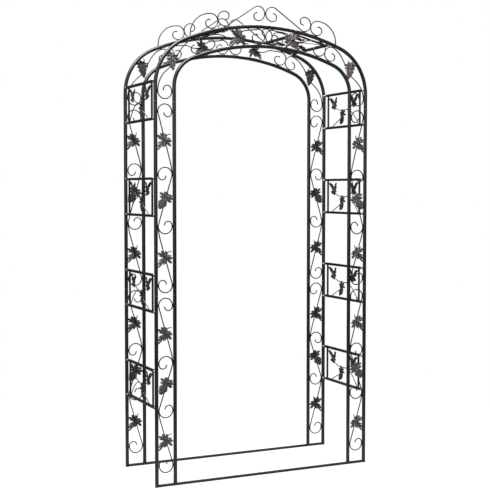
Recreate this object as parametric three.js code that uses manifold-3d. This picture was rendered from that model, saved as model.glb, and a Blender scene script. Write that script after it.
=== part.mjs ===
// Metal trellis arch for a garden path: two welded tube arches with scrollwork,
// joined by bolted side and top panels. Millimetres, +Z up, origin on the ground
// midway between the four legs. X runs across the path, Y along it.
import * as THREE from 'three';
import { mergeVertices } from 'three/addons/utils/BufferGeometryUtils.js';
import Module from 'manifold-3d';

const wasm = await Module();
wasm.setup();

// ---- driving dimensions ----
const SPAN = 1200;            // between the centre lines of the outer tubes
const DEPTH = 452;            // between the planes of the front and back arches
const BAND = 99;              // from an outer tube to its inner tube, centre to centre
const SECTION = 960;          // length of one leg section
const CORNER_Z = 1994;        // height where the legs start to bend
const CORNER_RADIUS = 255;    // outer tube at the shoulder
const CROWN_RADIUS = 1175;    // outer tube over the top
const TUBE_RADIUS = 9.5;
const BORE_RADIUS = 7.8;
const SPIGOT_RADIUS = 7.3;    // push fit in the next tube's bore
const SPIGOT_BORE = 6.1;
const SPIGOT_LENGTH = 40;
const CROWN_SPIGOT_LENGTH = 25;
const GAP = 0.3;              // between pieces that touch
const ROD = 6;                // round scroll rods
const ROD_SECTION = 5.3;      // square of the same area as the round rod
const SCROLL_RADIUS = 36.5;
const CURL_RADIUS = 20;       // the tighter end of each scroll
const CURL_SWEEP = 160;
const SCROLL_SWEEP = 217;     // how far a leg rod follows its circle before it curls
const SCROLL_INSET = 50;      // from a section's end to the middle of its last scroll
const LOWEST_SCROLL_Z = 107;
const LEAF_DROP = 140;        // from a leg section's end scroll to the leaf beside it
const LEAF_THICKNESS = 3;
const BUNCH_THICKNESS = 12;
const BASE_RAIL = 12;         // square tube along the ground
const BASE_RAIL_WALL = 1.5;
const BASE_PIN_HEIGHT = 30;
const BASE_PIN_RADIUS = 5.9;
const PANEL_HEIGHT = 185;     // between the centre lines of a panel's rails
const PANEL_PITCH = 480;
const LOWEST_PANEL_Z = 395;
const TOP_PANEL_X = 385;      // lower rail of a top panel
const RAIL = 13;              // square tube of a panel's rails
const RAIL_WALL = 1.5;
const BAR = 10;               // square upright bars of a panel
const BAR_OFFSET = 172;       // upright bars of a panel, from its middle
const LUG_THICKNESS = 3;
const LUG_HEIGHT = 14;
const LUG_REACH = 23;
const LUG_OVERLAP = 0.2;      // how far a lug stands clear of the bore inside its tube
const EYE_THICKNESS = 3;      // flattened end of a panel rail
const EYE_WIDTH = 13;
const EYE_TIP = 6;            // beyond the middle of the bolt hole
const BOLT_OFFSET = 16.5;       // bolt hole, from the tube's centre line
const BOLT_HOLE_RADIUS = 3.3;

// Sides of a round section, and the degrees of bend in each facet of a curve.
const TUBE_SIDES = 6;
const HOLE_SIDES = 6;
const ARC_STEP = 44;
const CURL_STEP = 60;
const SHOULDER_STEP = 14;
const CROWN_STEP = 8;
const SWEEP_STEP = 26;

const HALF_SPAN = SPAN / 2;
const HALF_DEPTH = DEPTH / 2;
const JOINT_Z = 2 * SECTION;
const CENTRE_DISTANCE = CROWN_RADIUS - CORNER_RADIUS;
const CORNER_X = HALF_SPAN - CORNER_RADIUS;
const CROWN_Z = CORNER_Z - Math.sqrt(CENTRE_DISTANCE ** 2 - CORNER_X ** 2);
const CROWN_ANGLE = THREE.MathUtils.radToDeg(Math.asin(CORNER_X / CENTRE_DISTANCE));
const BAND_RADIUS = CROWN_RADIUS - BAND / 2;
const PANEL_SETBACK = GAP + EYE_THICKNESS / 2;

// ---- leaf and grape outlines, as [turn in degrees, reach] for the right half ----
const VINE_LEAF = [
  [-53, 66], [-18, 34], [-4, 17], [26, 46], [95, 30], [135, 19], [188, 31], [227, 44], [262, 20],
];
const LEG_BUNCH = [
  [-54, 47], [-3, 34], [46, 33], [64, 55], [108, 42], [152, 42], [180, 30], [254, 29],
];
const SHOULDER_BUNCH = [
  [-80, 24], [-33, 24], [34, 30], [47, 46], [101, 48], [126, 49], [180, 27], [246, 34],
];

// ---- materials ----
// The scrollwork is set by hand, so no two legs match: how far the upper leaf, upper coil,
// grapes, lower coil and lower leaf of each leg section sit above their even places.
const HAND_SET = {
  front_left: { upper: [0, -4, 0, -14, 4], lower: [0, -5, 7, -10, -9] },
  front_right: { upper: [4, -10, -10, -33, 0], lower: [2, -4, 7, -4, -16] },
  back_left: { upper: [17, 23, 25, -7, 2], lower: [4, 2, 2, 0, 0] },
  back_right: { upper: [5, 4, 19, -11, 10], lower: [4, 1, 11, 1, 5] },
};

const blackPaint = { color: 0x23272a, roughness: 0.45, metalness: 0.6 };
const bronzePaint = { color: 0x332d2c, roughness: 0.55, metalness: 0.5 };

// ---- points, arcs and tangents in the plane of an arch, as [across, up] ----
const radians = THREE.MathUtils.degToRad;

function onCircle([x, z], radius, degrees) {
  return [x + radius * Math.cos(radians(degrees)), z + radius * Math.sin(radians(degrees))];
}

function arc(centre, radius, start, sweep, step) {
  const count = Math.ceil(Math.abs(sweep) / step);
  const points = [];
  for (let i = 0; i <= count; i += 1) {
    points.push(onCircle(centre, radius, start + (sweep * i) / count));
  }
  return points;
}

function directionTo([x0, z0], [x1, z1]) {
  return THREE.MathUtils.radToDeg(Math.atan2(z1 - z0, x1 - x0));
}

function distance([x0, z0], [x1, z1]) {
  return Math.hypot(x1 - x0, z1 - z0);
}

// A rod that meets a circle at the angle start, follows it round and curls in.
function scrollEnd(centre, start, sweep, radius = SCROLL_RADIUS) {
  const turn = Math.sign(sweep);
  const last = start + sweep;
  const curlRadius = (CURL_RADIUS * radius) / SCROLL_RADIUS;
  const curlCentre = onCircle(centre, radius - curlRadius, last);
  const curl = arc(curlCentre, curlRadius, last, turn * CURL_SWEEP, CURL_STEP);
  return [...arc(centre, radius, start, sweep, ARC_STEP), ...curl.slice(1)];
}

// Angle where a straight rod crosses from one circle to the opposite side of
// another of the same radius, seen from the first centre.
function crossingAngle(from, to, side) {
  const tilt = THREE.MathUtils.radToDeg(Math.acos((2 * SCROLL_RADIUS) / distance(from, to)));
  return directionTo(from, to) + side * tilt;
}

// Angle where a straight rod from a point outside touches a circle.
function touchAngle(centre, point, side) {
  const tilt = THREE.MathUtils.radToDeg(Math.acos(SCROLL_RADIUS / distance(centre, point)));
  return directionTo(centre, point) + side * tilt;
}

// A point over the crown, by its distance along the band and out from its middle.
function overCrown(along, out) {
  const angle = 90 - THREE.MathUtils.radToDeg(along / BAND_RADIUS);
  return onCircle([0, CROWN_Z], BAND_RADIUS + out, angle);
}

// ---- solids ----
class RodPath extends THREE.Curve {
  constructor(points) {
    super();
    this.points = points;
  }

  getPointAt(u, target = new THREE.Vector3()) {
    return target.copy(this.points[Math.round(u * (this.points.length - 1))]);
  }

  getTangentAt(u, target = new THREE.Vector3()) {
    const last = this.points.length - 1;
    const here = Math.round(u * last);
    const before = this.points[Math.max(here - 1, 0)];
    const after = this.points[Math.min(here + 1, last)];
    const point = this.points[here];
    const arriving = point.clone().sub(before).normalize();
    const leaving = after.clone().sub(point).normalize();
    return target.copy(arriving).add(leaving).normalize();
  }
}

function solid(geometry) {
  geometry.deleteAttribute('normal');
  geometry.deleteAttribute('uv');
  const merged = mergeVertices(geometry, 1e-3);
  return new wasm.Manifold(new wasm.Mesh({
    numProp: 3,
    vertProperties: merged.attributes.position.array,
    triVerts: new Uint32Array(merged.index.array),
  }));
}

function joined(solids) {
  return solids.reduce((whole, piece) => whole.add(piece));
}

function node(name, body, look) {
  const shape = body.getMesh();
  const geometry = new THREE.BufferGeometry();
  geometry.setAttribute('position', new THREE.BufferAttribute(shape.vertProperties, 3));
  geometry.setIndex(new THREE.BufferAttribute(shape.triVerts, 1));
  geometry.computeVertexNormals();
  const mesh = new THREE.Mesh(geometry, new THREE.MeshStandardMaterial(look));
  mesh.name = name;
  return mesh;
}

function polygon(radius, sides, startDegrees = 0) {
  const corners = [];
  for (let i = 0; i < sides; i += 1) {
    const [x, y] = onCircle([0, 0], radius, startDegrees + (360 * i) / sides);
    corners.push(new THREE.Vector2(x, y));
  }
  return corners;
}

function swept(points, shape, side) {
  const path = new RodPath(points.map(([x, z]) => new THREE.Vector3(x * side, 0, z)));
  return solid(new THREE.ExtrudeGeometry(shape, {
    steps: points.length - 1,
    extrudePath: path,
    curveSegments: 1,
  }));
}

function rod(points, side = 1, thickness = ROD_SECTION) {
  const corner = thickness * Math.SQRT1_2;
  return swept(points, new THREE.Shape(polygon(corner, 4, 45)), side);
}

// A square tube lying across, with its middle on the origin.
function squareTube(width, wall, length) {
  const outline = new THREE.Shape(polygon(width * Math.SQRT1_2, 4, 45));
  outline.holes.push(new THREE.Path(polygon((width - 2 * wall) * Math.SQRT1_2, 4, 45)));
  const geometry = new THREE.ExtrudeGeometry(outline, { depth: length, bevelEnabled: false });
  geometry.translate(0, 0, -length / 2);
  geometry.rotateY(Math.PI / 2);
  return solid(geometry);
}

// A flat plate standing in the plane of the arch, from its outline.
function plate(outline, thickness, side = 1, holes = []) {
  const shape = new THREE.Shape(outline.map(([x, z]) => new THREE.Vector2(x * side, z)));
  shape.holes = holes;
  const geometry = new THREE.ExtrudeGeometry(shape, { depth: thickness, bevelEnabled: false });
  geometry.translate(0, 0, -thickness / 2);
  geometry.rotateX(Math.PI / 2);
  return solid(geometry);
}

// A drop of weld where two rods touch.
function weld([x, z], side) {
  const half = ROD / 2;
  const reach = ROD + 1;
  const outline = [[-reach, -half], [reach, -half], [reach, half], [-reach, half]];
  return plate(outline.map(([across, up]) => [x + across, z + up]), ROD, side);
}

// A flat leaf or bunch about its middle, from the tips and notches of its outline.
function cutout(centre, lobes, thickness, side, scale = 1, turned = 0) {
  const outline = lobes.map(([turn, reach]) => onCircle(centre, reach * scale, turn + turned));
  return plate(outline, thickness, side);
}

// ---- tubes ----
function upright(profile) {
  const closed = [...profile, profile[0]].map(([r, z]) => new THREE.Vector2(r, z));
  const geometry = new THREE.LatheGeometry(closed, TUBE_SIDES);
  geometry.rotateX(Math.PI / 2);
  return solid(geometry);
}

// A drilled ear on the inner side of a tube, for one end of a panel's rail.
function lug(x, z, tilt, side) {
  const start = BORE_RADIUS + LUG_OVERLAP;
  const shape = new THREE.Shape([
    new THREE.Vector2(start, -LUG_HEIGHT / 2),
    new THREE.Vector2(LUG_REACH, -LUG_HEIGHT / 2),
    new THREE.Vector2(LUG_REACH, LUG_HEIGHT / 2),
    new THREE.Vector2(start, LUG_HEIGHT / 2),
  ]);
  const hole = polygon(BOLT_HOLE_RADIUS, HOLE_SIDES);
  hole.forEach((corner) => { corner.x += BOLT_OFFSET; });
  shape.holes.push(new THREE.Path(hole));
  const geometry = new THREE.ExtrudeGeometry(shape, { depth: LUG_THICKNESS, bevelEnabled: false });
  geometry.rotateY(Math.PI / 2);
  geometry.rotateX(Math.PI / 2);
  if (side < 0) geometry.translate(-LUG_THICKNESS, 0, 0);
  geometry.rotateY(-side * radians(tilt));
  geometry.translate(x * side, 0, z);
  return solid(geometry);
}

function legTube(foot, top, inset, lugHeights, side) {
  const tube = upright([
    [BORE_RADIUS, foot], [TUBE_RADIUS, foot], [TUBE_RADIUS, top],
    [SPIGOT_RADIUS, top], [SPIGOT_RADIUS, top + SPIGOT_LENGTH],
    [SPIGOT_BORE, top + SPIGOT_LENGTH], [SPIGOT_BORE, top - TUBE_RADIUS],
    [BORE_RADIUS, top - TUBE_RADIUS],
  ]);
  const x = HALF_SPAN - inset;
  const placed = tube.translate([x * side, 0, 0]);
  return joined([placed, ...lugHeights.map((z) => lug(x, z, 0, side))]);
}

function archCentreLine(inset) {
  const crownStraight = CROWN_SPIGOT_LENGTH + 5;
  const crown = CROWN_RADIUS - inset;
  const nearCrown = THREE.MathUtils.radToDeg(Math.asin(crownStraight / crown));
  const shoulder = arc([CORNER_X, CORNER_Z], CORNER_RADIUS - inset, 0, 90 - CROWN_ANGLE, SHOULDER_STEP);
  const over = arc([0, CROWN_Z], crown, 90 - CROWN_ANGLE, CROWN_ANGLE - nearCrown, CROWN_STEP);
  return [
    [HALF_SPAN - inset, JOINT_Z + GAP],
    ...shoulder,
    ...over.slice(1),
    [GAP / 2, CROWN_Z + crown],
  ];
}

function crownSpigot(inset, side) {
  const root = -2 * TUBE_RADIUS;
  const collar = (BORE_RADIUS + TUBE_RADIUS) / 2;
  const spigot = upright([
    [SPIGOT_BORE, root], [collar, root], [collar, -GAP], [SPIGOT_RADIUS, -GAP],
    [SPIGOT_RADIUS, CROWN_SPIGOT_LENGTH], [SPIGOT_BORE, CROWN_SPIGOT_LENGTH],
  ]);
  const flat = spigot.rotate([0, -90 * side, 0]);
  return flat.translate([side * GAP / 2, 0, CROWN_Z + CROWN_RADIUS - inset]);
}

function archTube(inset, lugs, hasSpigot, side) {
  const ring = new THREE.Shape(polygon(TUBE_RADIUS, TUBE_SIDES));
  ring.holes.push(new THREE.Path(polygon(BORE_RADIUS, TUBE_SIDES)));
  const pieces = [swept(archCentreLine(inset), ring, side)];
  pieces.push(...lugs.map(([x, z, tilt]) => lug(x, z, tilt, side)));
  if (hasSpigot) pieces.push(crownSpigot(inset, side));
  return joined(pieces);
}

// ---- scrollwork ----
// Between the tubes of one leg section: a scroll at each end, and an S-scroll
// between them that carries the grapes.
function legScrolls(top, bottom, shifts, side) {
  const [upperLeafUp, upperCoilUp, bunchUp, lowerCoilUp, lowerLeafUp] = shifts;
  const x = HALF_SPAN - BAND / 2;
  const span = top - bottom;
  const fromEnd = 0.357;
  const upper = [x, top];
  const middleUpper = [x, top - fromEnd * span + upperCoilUp];
  const middleLower = [x, bottom + fromEnd * span + lowerCoilUp];
  const lower = [x, bottom];
  const inner = x - SCROLL_RADIUS;
  const outer = x + SCROLL_RADIUS;
  const straight = 30;
  const upperStart = [inner, middleUpper[1] + straight];
  const lowerStart = [outer, middleLower[1] - straight];
  const upperTouch = touchAngle(upper, upperStart, 1);
  const crossUpper = crossingAngle(middleUpper, middleLower, -1);
  const crossLower = crossingAngle(middleLower, middleUpper, -1);
  const lowerTouch = touchAngle(lower, lowerStart, 1);
  const upperFoot = [inner + 0.5, middleUpper[1] + 2];
  const lowerFoot = [outer - 0.5, middleLower[1] - 2];
  const leafScale = 0.93;
  const upperLeaf = [x + 1, top - LEAF_DROP + upperLeafUp];
  const lowerLeaf = [x - 1, bottom + LEAF_DROP - 4 + lowerLeafUp];
  const bunch = [x, (top + bottom) / 2 - 16 + bunchUp];
  return joined([
    rod([upperFoot, upperStart, ...scrollEnd(upper, upperTouch, SCROLL_SWEEP)], side),
    rod([
      ...scrollEnd(middleUpper, crossUpper, -SCROLL_SWEEP).reverse(),
      ...scrollEnd(middleLower, crossLower, -SCROLL_SWEEP),
    ], side),
    rod([lowerFoot, lowerStart, ...scrollEnd(lower, lowerTouch, SCROLL_SWEEP)], side),
    cutout(upperLeaf, VINE_LEAF, LEAF_THICKNESS, side, leafScale),
    cutout(lowerLeaf, VINE_LEAF, LEAF_THICKNESS, side, leafScale),
    cutout(bunch, LEG_BUNCH, BUNCH_THICKNESS, side),
  ]);
}

// Between the tubes of one arch half: from the ring above the leg joint, past the
// grapes in the shoulder, to the pair of rings and the ring at the crown.
function archScrolls(side) {
  const legRing = [HALF_SPAN - BAND / 2, JOINT_Z + 49];
  const crownRing = overCrown(SCROLL_RADIUS + ROD / 2 + GAP / 2, 0);
  const pairAlong = 320;
  const firstRing = overCrown(pairAlong, 0);
  const secondRing = overCrown(pairAlong + 2 * SCROLL_RADIUS, 0);
  const ringContact = overCrown(pairAlong + SCROLL_RADIUS, 0);
  const shoulder = onCircle([CORNER_X, CORNER_Z], CORNER_RADIUS - BAND / 2, 39);
  const bunch = [shoulder[0] - 3, shoulder[1] - 8];
  const belowBunch = [bunch[0] + 1, bunch[1] - 18];
  const besideBunch = [bunch[0] - 22, bunch[1] + 22];
  const legStart = onCircle(legRing, SCROLL_RADIUS, 0);
  const secondTouch = 62;
  const pairStart = onCircle(secondRing, SCROLL_RADIUS, secondTouch);
  const shoulderRod = new THREE.CubicBezierCurve(
    new THREE.Vector2(...belowBunch),
    new THREE.Vector2(belowBunch[0] + 39, belowBunch[1] - 28),
    new THREE.Vector2(legStart[0], legStart[1] + 60),
    new THREE.Vector2(...legStart),
  ).getPoints(5).map((p) => [p.x, p.y]);
  const pairRod = new THREE.QuadraticBezierCurve(
    new THREE.Vector2(...besideBunch),
    new THREE.Vector2(pairStart[0] + 45, pairStart[1] - 12),
    new THREE.Vector2(...pairStart),
  ).getPoints(3).map((p) => [p.x, p.y]);
  const leafRod = [[118, 29], [152, 9], [182, 0], [215, 5], [250, 24]];
  const leafAlong = 164;
  return joined([
    rod([...shoulderRod, ...scrollEnd(legRing, 0, -SCROLL_SWEEP).slice(1)], side),
    rod([...pairRod, ...scrollEnd(secondRing, secondTouch, 222).slice(1)], side),
    rod([
      ...scrollEnd(crownRing, 66, 262).reverse(),
      ...leafRod.map(([along, out]) => overCrown(along, out)),
      ...scrollEnd(firstRing, 98, -250),
    ], side),
    cutout(overCrown(leafAlong, 0), VINE_LEAF, LEAF_THICKNESS, side, 0.84, 8),
    cutout(bunch, SHOULDER_BUNCH, BUNCH_THICKNESS, side),
    weld(ringContact, side),
  ]);
}

// Scrolls that stand on the outer tube of one arch half.
function crest(side) {
  const crownTop = CROWN_Z + CROWN_RADIUS;
  const apexScroll = [SCROLL_RADIUS + ROD / 2 + GAP / 2, crownTop + 67];
  const smallScroll = [228, crownTop + 28];
  const largeScroll = [301, crownTop + 12];
  const ringSweep = 232;
  const tall = crossingAngle(apexScroll, smallScroll, 1);
  const low = crossingAngle(smallScroll, apexScroll, 1);
  const rise = 110;
  const sweepCentre = [largeScroll[0] + 4, largeScroll[1] + SCROLL_RADIUS - rise];
  const footX = sweepCentre[0] + rise;
  const footReach = CROWN_RADIUS + TUBE_RADIUS + 1;
  const foot = [footX, CROWN_Z + Math.sqrt(footReach ** 2 - footX ** 2)];
  return joined([
    rod([
      ...scrollEnd(apexScroll, tall, ringSweep).reverse(),
      ...scrollEnd(smallScroll, low, ringSweep),
    ], side),
    rod([
      foot,
      ...arc(sweepCentre, rise, 14, 76, SWEEP_STEP),
      ...scrollEnd(largeScroll, 90, SCROLL_SWEEP).slice(1),
    ], side),
  ]);
}

// ---- one arch, seen from the front, with the panels behind it ----
const sideRails = [0, 1, 2, 3].flatMap((i) => {
  const low = LOWEST_PANEL_Z + i * PANEL_PITCH;
  return [low, low + PANEL_HEIGHT];
});

// The two rails of a top panel: place on the outer tube and the slope between them.
function topRails() {
  const low = [TOP_PANEL_X, CROWN_Z + Math.sqrt(CROWN_RADIUS ** 2 - TOP_PANEL_X ** 2)];
  const chord = THREE.MathUtils.radToDeg(2 * Math.asin(PANEL_HEIGHT / 2 / CROWN_RADIUS));
  const high = onCircle([0, CROWN_Z], CROWN_RADIUS, directionTo([0, CROWN_Z], low) + chord);
  return { low, high, tilt: directionTo(low, high) - 90 };
}

function arch(place, localNames) {
  const group = new THREE.Group();
  const foot = BASE_RAIL + GAP;
  const { low, high, tilt } = topRails();
  for (const [sideName, side] of localNames) {
    const name = (part) => `${place}_${sideName}_${part}`;
    const lowerLugs = sideRails.filter((z) => z < SECTION);
    const upperLugs = sideRails.filter((z) => z > SECTION && z < JOINT_Z);
    const archLugs = sideRails.filter((z) => z > JOINT_Z).map((z) => [HALF_SPAN, z, 0]);
    archLugs.push([...low, tilt], [...high, tilt]);
    const spigot = side < 0;
    const upperFoot = SECTION + GAP;
    const tubes = {
      lower_outer_tube: legTube(0, SECTION, 0, lowerLugs, side),
      lower_inner_tube: legTube(foot, SECTION, BAND, [], side),
      upper_outer_tube: legTube(upperFoot, JOINT_Z, 0, upperLugs, side),
      upper_inner_tube: legTube(upperFoot, JOINT_Z, BAND, [], side),
      top_outer_tube: archTube(0, archLugs, spigot, side),
      top_inner_tube: archTube(BAND, [], spigot, side),
    };
    for (const [part, body] of Object.entries(tubes)) group.add(node(name(part), body, blackPaint));
    const shifts = HAND_SET[`${place}_${sideName}`];
    const scrolls = {
      lower_scrollwork: legScrolls(SECTION - SCROLL_INSET, LOWEST_SCROLL_Z, shifts.lower, side),
      upper_scrollwork: legScrolls(JOINT_Z - SCROLL_INSET, SECTION + SCROLL_INSET, shifts.upper, side),
      top_scrollwork: archScrolls(side),
      crest: crest(side),
    };
    for (const [part, body] of Object.entries(scrolls)) group.add(node(name(part), body, bronzePaint));
  }
  group.add(node(`${place}_base_rail`, baseRail(), blackPaint));
  return group;
}

// Square tube on the ground between the outer legs, with a pin up into each inner leg.
function baseRail() {
  const length = SPAN - 2 * (TUBE_RADIUS + GAP);
  const tube = squareTube(BASE_RAIL, BASE_RAIL_WALL, length).translate([0, 0, BASE_RAIL / 2]);
  const pinFoot = BASE_RAIL - BASE_RAIL_WALL / 2;
  const pinTop = BASE_RAIL + BASE_PIN_HEIGHT;
  const pins = [-1, 1].map((side) => upright([
    [0, pinFoot], [BASE_PIN_RADIUS, pinFoot], [BASE_PIN_RADIUS, pinTop], [0, pinTop],
  ]).translate([side * (HALF_SPAN - BAND), 0, 0]));
  return joined([tube, ...pins]);
}

// ---- panels between the two arches ----
// Built standing in its own plane, [along, up] from the middle of the lower rail.
function panelRail(height) {
  const eyeCentre = HALF_DEPTH - BOLT_OFFSET;
  const tubeEnd = eyeCentre - 8;
  const eyeRoot = tubeEnd - 8;
  const eyeTip = eyeCentre + EYE_TIP;
  const half = EYE_WIDTH / 2;
  const eyes = [-1, 1].map((end) => {
    const hole = polygon(BOLT_HOLE_RADIUS, HOLE_SIDES);
    hole.forEach((corner) => { corner.set(end * eyeCentre + corner.x, height + corner.y); });
    const eye = [[eyeRoot, 1 - half], [eyeTip, -half], [eyeTip, half], [eyeRoot, half - 1]];
    const placed = eye.map(([x, z]) => [end * x, height + z]);
    return plate(placed, EYE_THICKNESS, 1, [new THREE.Path(hole)]);
  });
  return joined([squareTube(RAIL, RAIL_WALL, 2 * tubeEnd).translate([0, 0, height]), ...eyes]);
}

// Three leaflets in an upper corner of the panel, as one flat sprig.
function sprig(end) {
  const middle = [110, 124];
  const lobes = [[45, 52], [75, 13], [112, 46], [180, 8], [260, 12], [334, 38], [5, 12]];
  return cutout(middle, lobes, LEAF_THICKNESS, end);
}

// The leaf and small bunch that hang in the middle of the panel.
function pendant() {
  const outline = [
    [35, 73], [5, 94], [-20, 68], [0, 57], [-3, 38], [8, 14], [16, 14], [26, 42], [20, 58],
  ];
  return plate(outline, LEAF_THICKNESS);
}

function panel() {
  const pieces = [panelRail(0), panelRail(PANEL_HEIGHT), pendant()];
  for (const end of [-1, 1]) {
    pieces.push(
      rod([[BAR_OFFSET, 0], [BAR_OFFSET, PANEL_HEIGHT]], end, BAR),
      rod([[BAR_OFFSET, PANEL_HEIGHT - 5], [112, 126], [2, 88]], end),
      rod([[2, 66], [62, 38], [142, 2]], end),
      sprig(end),
    );
  }
  return joined(pieces).translate([0, PANEL_SETBACK, 0]);
}

// Turns a standing panel to face out on the right-hand side, its lower rail at [x, z].
function placePanel(name, [x, z], tilt, turn, group) {
  const mesh = node(name, panel(), blackPaint);
  mesh.rotation.z = Math.PI / 2;
  const leaning = new THREE.Group();
  leaning.rotation.y = -radians(tilt);
  leaning.position.set(x, 0, z);
  leaning.add(mesh);
  const facing = new THREE.Group();
  facing.rotation.z = turn;
  facing.add(leaning);
  group.add(facing);
}

const model = new THREE.Group();
const front = arch('front', [['left', -1], ['right', 1]]);
front.position.y = -HALF_DEPTH;
const back = arch('back', [['right', -1], ['left', 1]]);
back.position.y = HALF_DEPTH;
back.rotation.z = Math.PI;
model.add(front, back);

for (const [sideName, turn] of [['right', 0], ['left', Math.PI]]) {
  for (let i = 0; i < 4; i += 1) {
    const low = LOWEST_PANEL_Z + i * PANEL_PITCH;
    placePanel(`${sideName}_side_panel_${i + 1}`, [HALF_SPAN, low], 0, turn, model);
  }
  const { low, tilt } = topRails();
  placePanel(`${sideName}_top_panel`, low, tilt, turn, model);
}

export default model;
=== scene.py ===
"""Metal trellis arch: its finished look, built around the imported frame.

Shapes are worked out in millimetres in the plane of one arch, as [across, up], and
each is then placed in the front arch, the back arch or a panel.
"""
import math
import random

import bpy
import numpy as np
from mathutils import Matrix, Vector


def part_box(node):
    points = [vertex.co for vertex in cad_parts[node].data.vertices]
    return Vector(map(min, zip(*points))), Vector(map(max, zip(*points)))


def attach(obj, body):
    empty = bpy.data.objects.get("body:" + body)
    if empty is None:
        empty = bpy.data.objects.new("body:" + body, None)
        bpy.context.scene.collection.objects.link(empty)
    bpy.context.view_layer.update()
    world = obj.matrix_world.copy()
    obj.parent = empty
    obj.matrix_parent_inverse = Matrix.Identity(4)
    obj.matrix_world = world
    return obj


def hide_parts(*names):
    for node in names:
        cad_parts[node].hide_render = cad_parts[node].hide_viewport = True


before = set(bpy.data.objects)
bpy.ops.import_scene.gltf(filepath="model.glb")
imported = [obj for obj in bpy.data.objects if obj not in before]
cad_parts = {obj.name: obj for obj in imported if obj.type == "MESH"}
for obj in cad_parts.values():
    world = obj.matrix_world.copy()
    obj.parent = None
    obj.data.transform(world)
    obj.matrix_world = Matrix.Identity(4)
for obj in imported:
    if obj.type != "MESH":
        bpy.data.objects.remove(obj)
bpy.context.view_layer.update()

MM = 0.001


def frame_box(node):
    """Lowest and highest corner of a CAD node, in millimetres."""
    low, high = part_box(node)
    return np.array(low) / MM, np.array(high) / MM


# ---- sizes read from the frame ----
leg_low, leg_high = frame_box("front_right_lower_outer_tube")
inner_low, inner_high = frame_box("front_right_lower_inner_tube")
_, upper_high = frame_box("front_right_upper_inner_tube")
rail_low, rail_high = frame_box("front_base_rail")
panel_low, _ = frame_box("right_side_panel_1")
next_low, _ = frame_box("right_side_panel_2")

TUBE_RADIUS = (inner_high[1] - inner_low[1]) / 2
HALF_SPAN = (leg_low[0] + leg_high[0]) / 2
BAND = HALF_SPAN - (inner_low[0] + inner_high[0]) / 2
HALF_DEPTH = -(inner_low[1] + inner_high[1]) / 2
BASE_RAIL = rail_high[1] - rail_low[1]
SPIGOT_LENGTH = 40
SECTION = inner_high[2] - SPIGOT_LENGTH
JOINT_Z = upper_high[2] - SPIGOT_LENGTH
PANEL_PITCH = next_low[2] - panel_low[2]

# ---- sizes of the arch ----
CORNER_Z = 1994  # height where the legs start to bend
CORNER_RADIUS = 255  # outer tube at the shoulder
CROWN_RADIUS = 1175  # outer tube over the top
TUBE_RIM = 0.7  # how much a tube's end is eased
ROD = 6  # round scroll rods
PANEL_STEM_RADIUS = 2.4
SCROLL_RADIUS = 36.5
SCROLL_SWEEP = 217  # how far a rod follows its circle before it curls
CREST_SWEEP = 232
CURL_RADIUS = 20  # the tighter end of each scroll
CURL_SWEEP = 160
FROM_END = 0.357  # place of a leg's middle scrolls, as a share
SCROLL_INSET = 50  # from a section's end to the middle of its last scroll
LOWEST_SCROLL_Z = 107
LEAF_DROP = 140  # from an end scroll to the leaf beside it
LEAF_FACE = -2.5  # leaves sit in front of the rods
BUNCH_LEAF_FACE = -5.0
GRAPE_FACE = -1.5
SHOULDER_ANGLE = 39  # where the grapes hang in the shoulder
PAIR_ALONG = 320  # first ring of the pair beside the crown, along the band
CREST_RISE = 110  # radius of the crest's outer sweep
PANEL_HEIGHT = 185  # between the centre lines of a panel's rails
TOP_PANEL_X = 385  # lower rail of a top panel
RAIL = 13  # square tube of a panel's rails
BAR = 8.6  # square upright bars of a panel
BAR_OFFSET = 172  # upright bars, from the panel's middle
PRESSED_LENGTH = 24  # of a rail, back from its bolt hole
BOLT_OFFSET = 16.5  # bolt hole, from the tube's centre line
LUG_THICKNESS = 3
LUG_HEIGHT = 14
EASED_EDGE = 0.5
GAP = 0.3  # between pieces that touch

LOWEST_PANEL_Z = panel_low[2] + RAIL / 2
CORNER_X = HALF_SPAN - CORNER_RADIUS
CENTRE_DISTANCE = CROWN_RADIUS - CORNER_RADIUS
CROWN_Z = CORNER_Z - math.sqrt(CENTRE_DISTANCE**2 - CORNER_X**2)
CROWN_ANGLE = math.degrees(math.asin(CORNER_X / CENTRE_DISTANCE))
BAND_RADIUS = CROWN_RADIUS - BAND / 2
CORNER = (CORNER_X, CORNER_Z)
CROWN = (0, CROWN_Z)
EYE_OFFSET = HALF_DEPTH - BOLT_OFFSET

ROD_SIDES = 12
TUBE_SIDES = 28
STEM_SIDES = 8
ARC_STEP = 6
CURL_STEP = 10


# ---- points, arcs and tangents in the plane of an arch ----
ORIGIN = (0, 0)


def on_circle(centre, radius, degrees):
    angle = math.radians(degrees)
    return (centre[0] + radius * math.cos(angle), centre[1] + radius * math.sin(angle))


def arc(centre, radius, start, sweep, step=ARC_STEP):
    count = math.ceil(abs(sweep) / step)
    return [on_circle(centre, radius, start + sweep * i / count) for i in range(count + 1)]


def direction(a, b):
    return math.degrees(math.atan2(b[1] - a[1], b[0] - a[0]))


def bezier(*controls, count=12):
    """Points along a Bezier curve with any number of control points."""
    points = []
    order = len(controls) - 1
    for i in range(count + 1):
        t = i / count
        weights = [math.comb(order, k) * t**k * (1 - t) ** (order - k) for k in range(order + 1)]
        points.append(tuple(sum(w * c[d] for w, c in zip(weights, controls)) for d in range(2)))
    return points


def smooth_through(points, count):
    """A smooth line through given points."""
    ends = [points[0], *points, points[-1]]
    result = [points[0]]
    for a, b, c, d in zip(ends, ends[1:], ends[2:], ends[3:]):
        for i in range(1, count + 1):
            t = i / count
            result.append(tuple(
                0.5 * (2 * b[k] + (c[k] - a[k]) * t + (2 * a[k] - 5 * b[k] + 4 * c[k] - d[k]) * t**2
                       + (3 * b[k] - a[k] - 3 * c[k] + d[k]) * t**3)
                for k in range(len(b))
            ))
    return result


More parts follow.
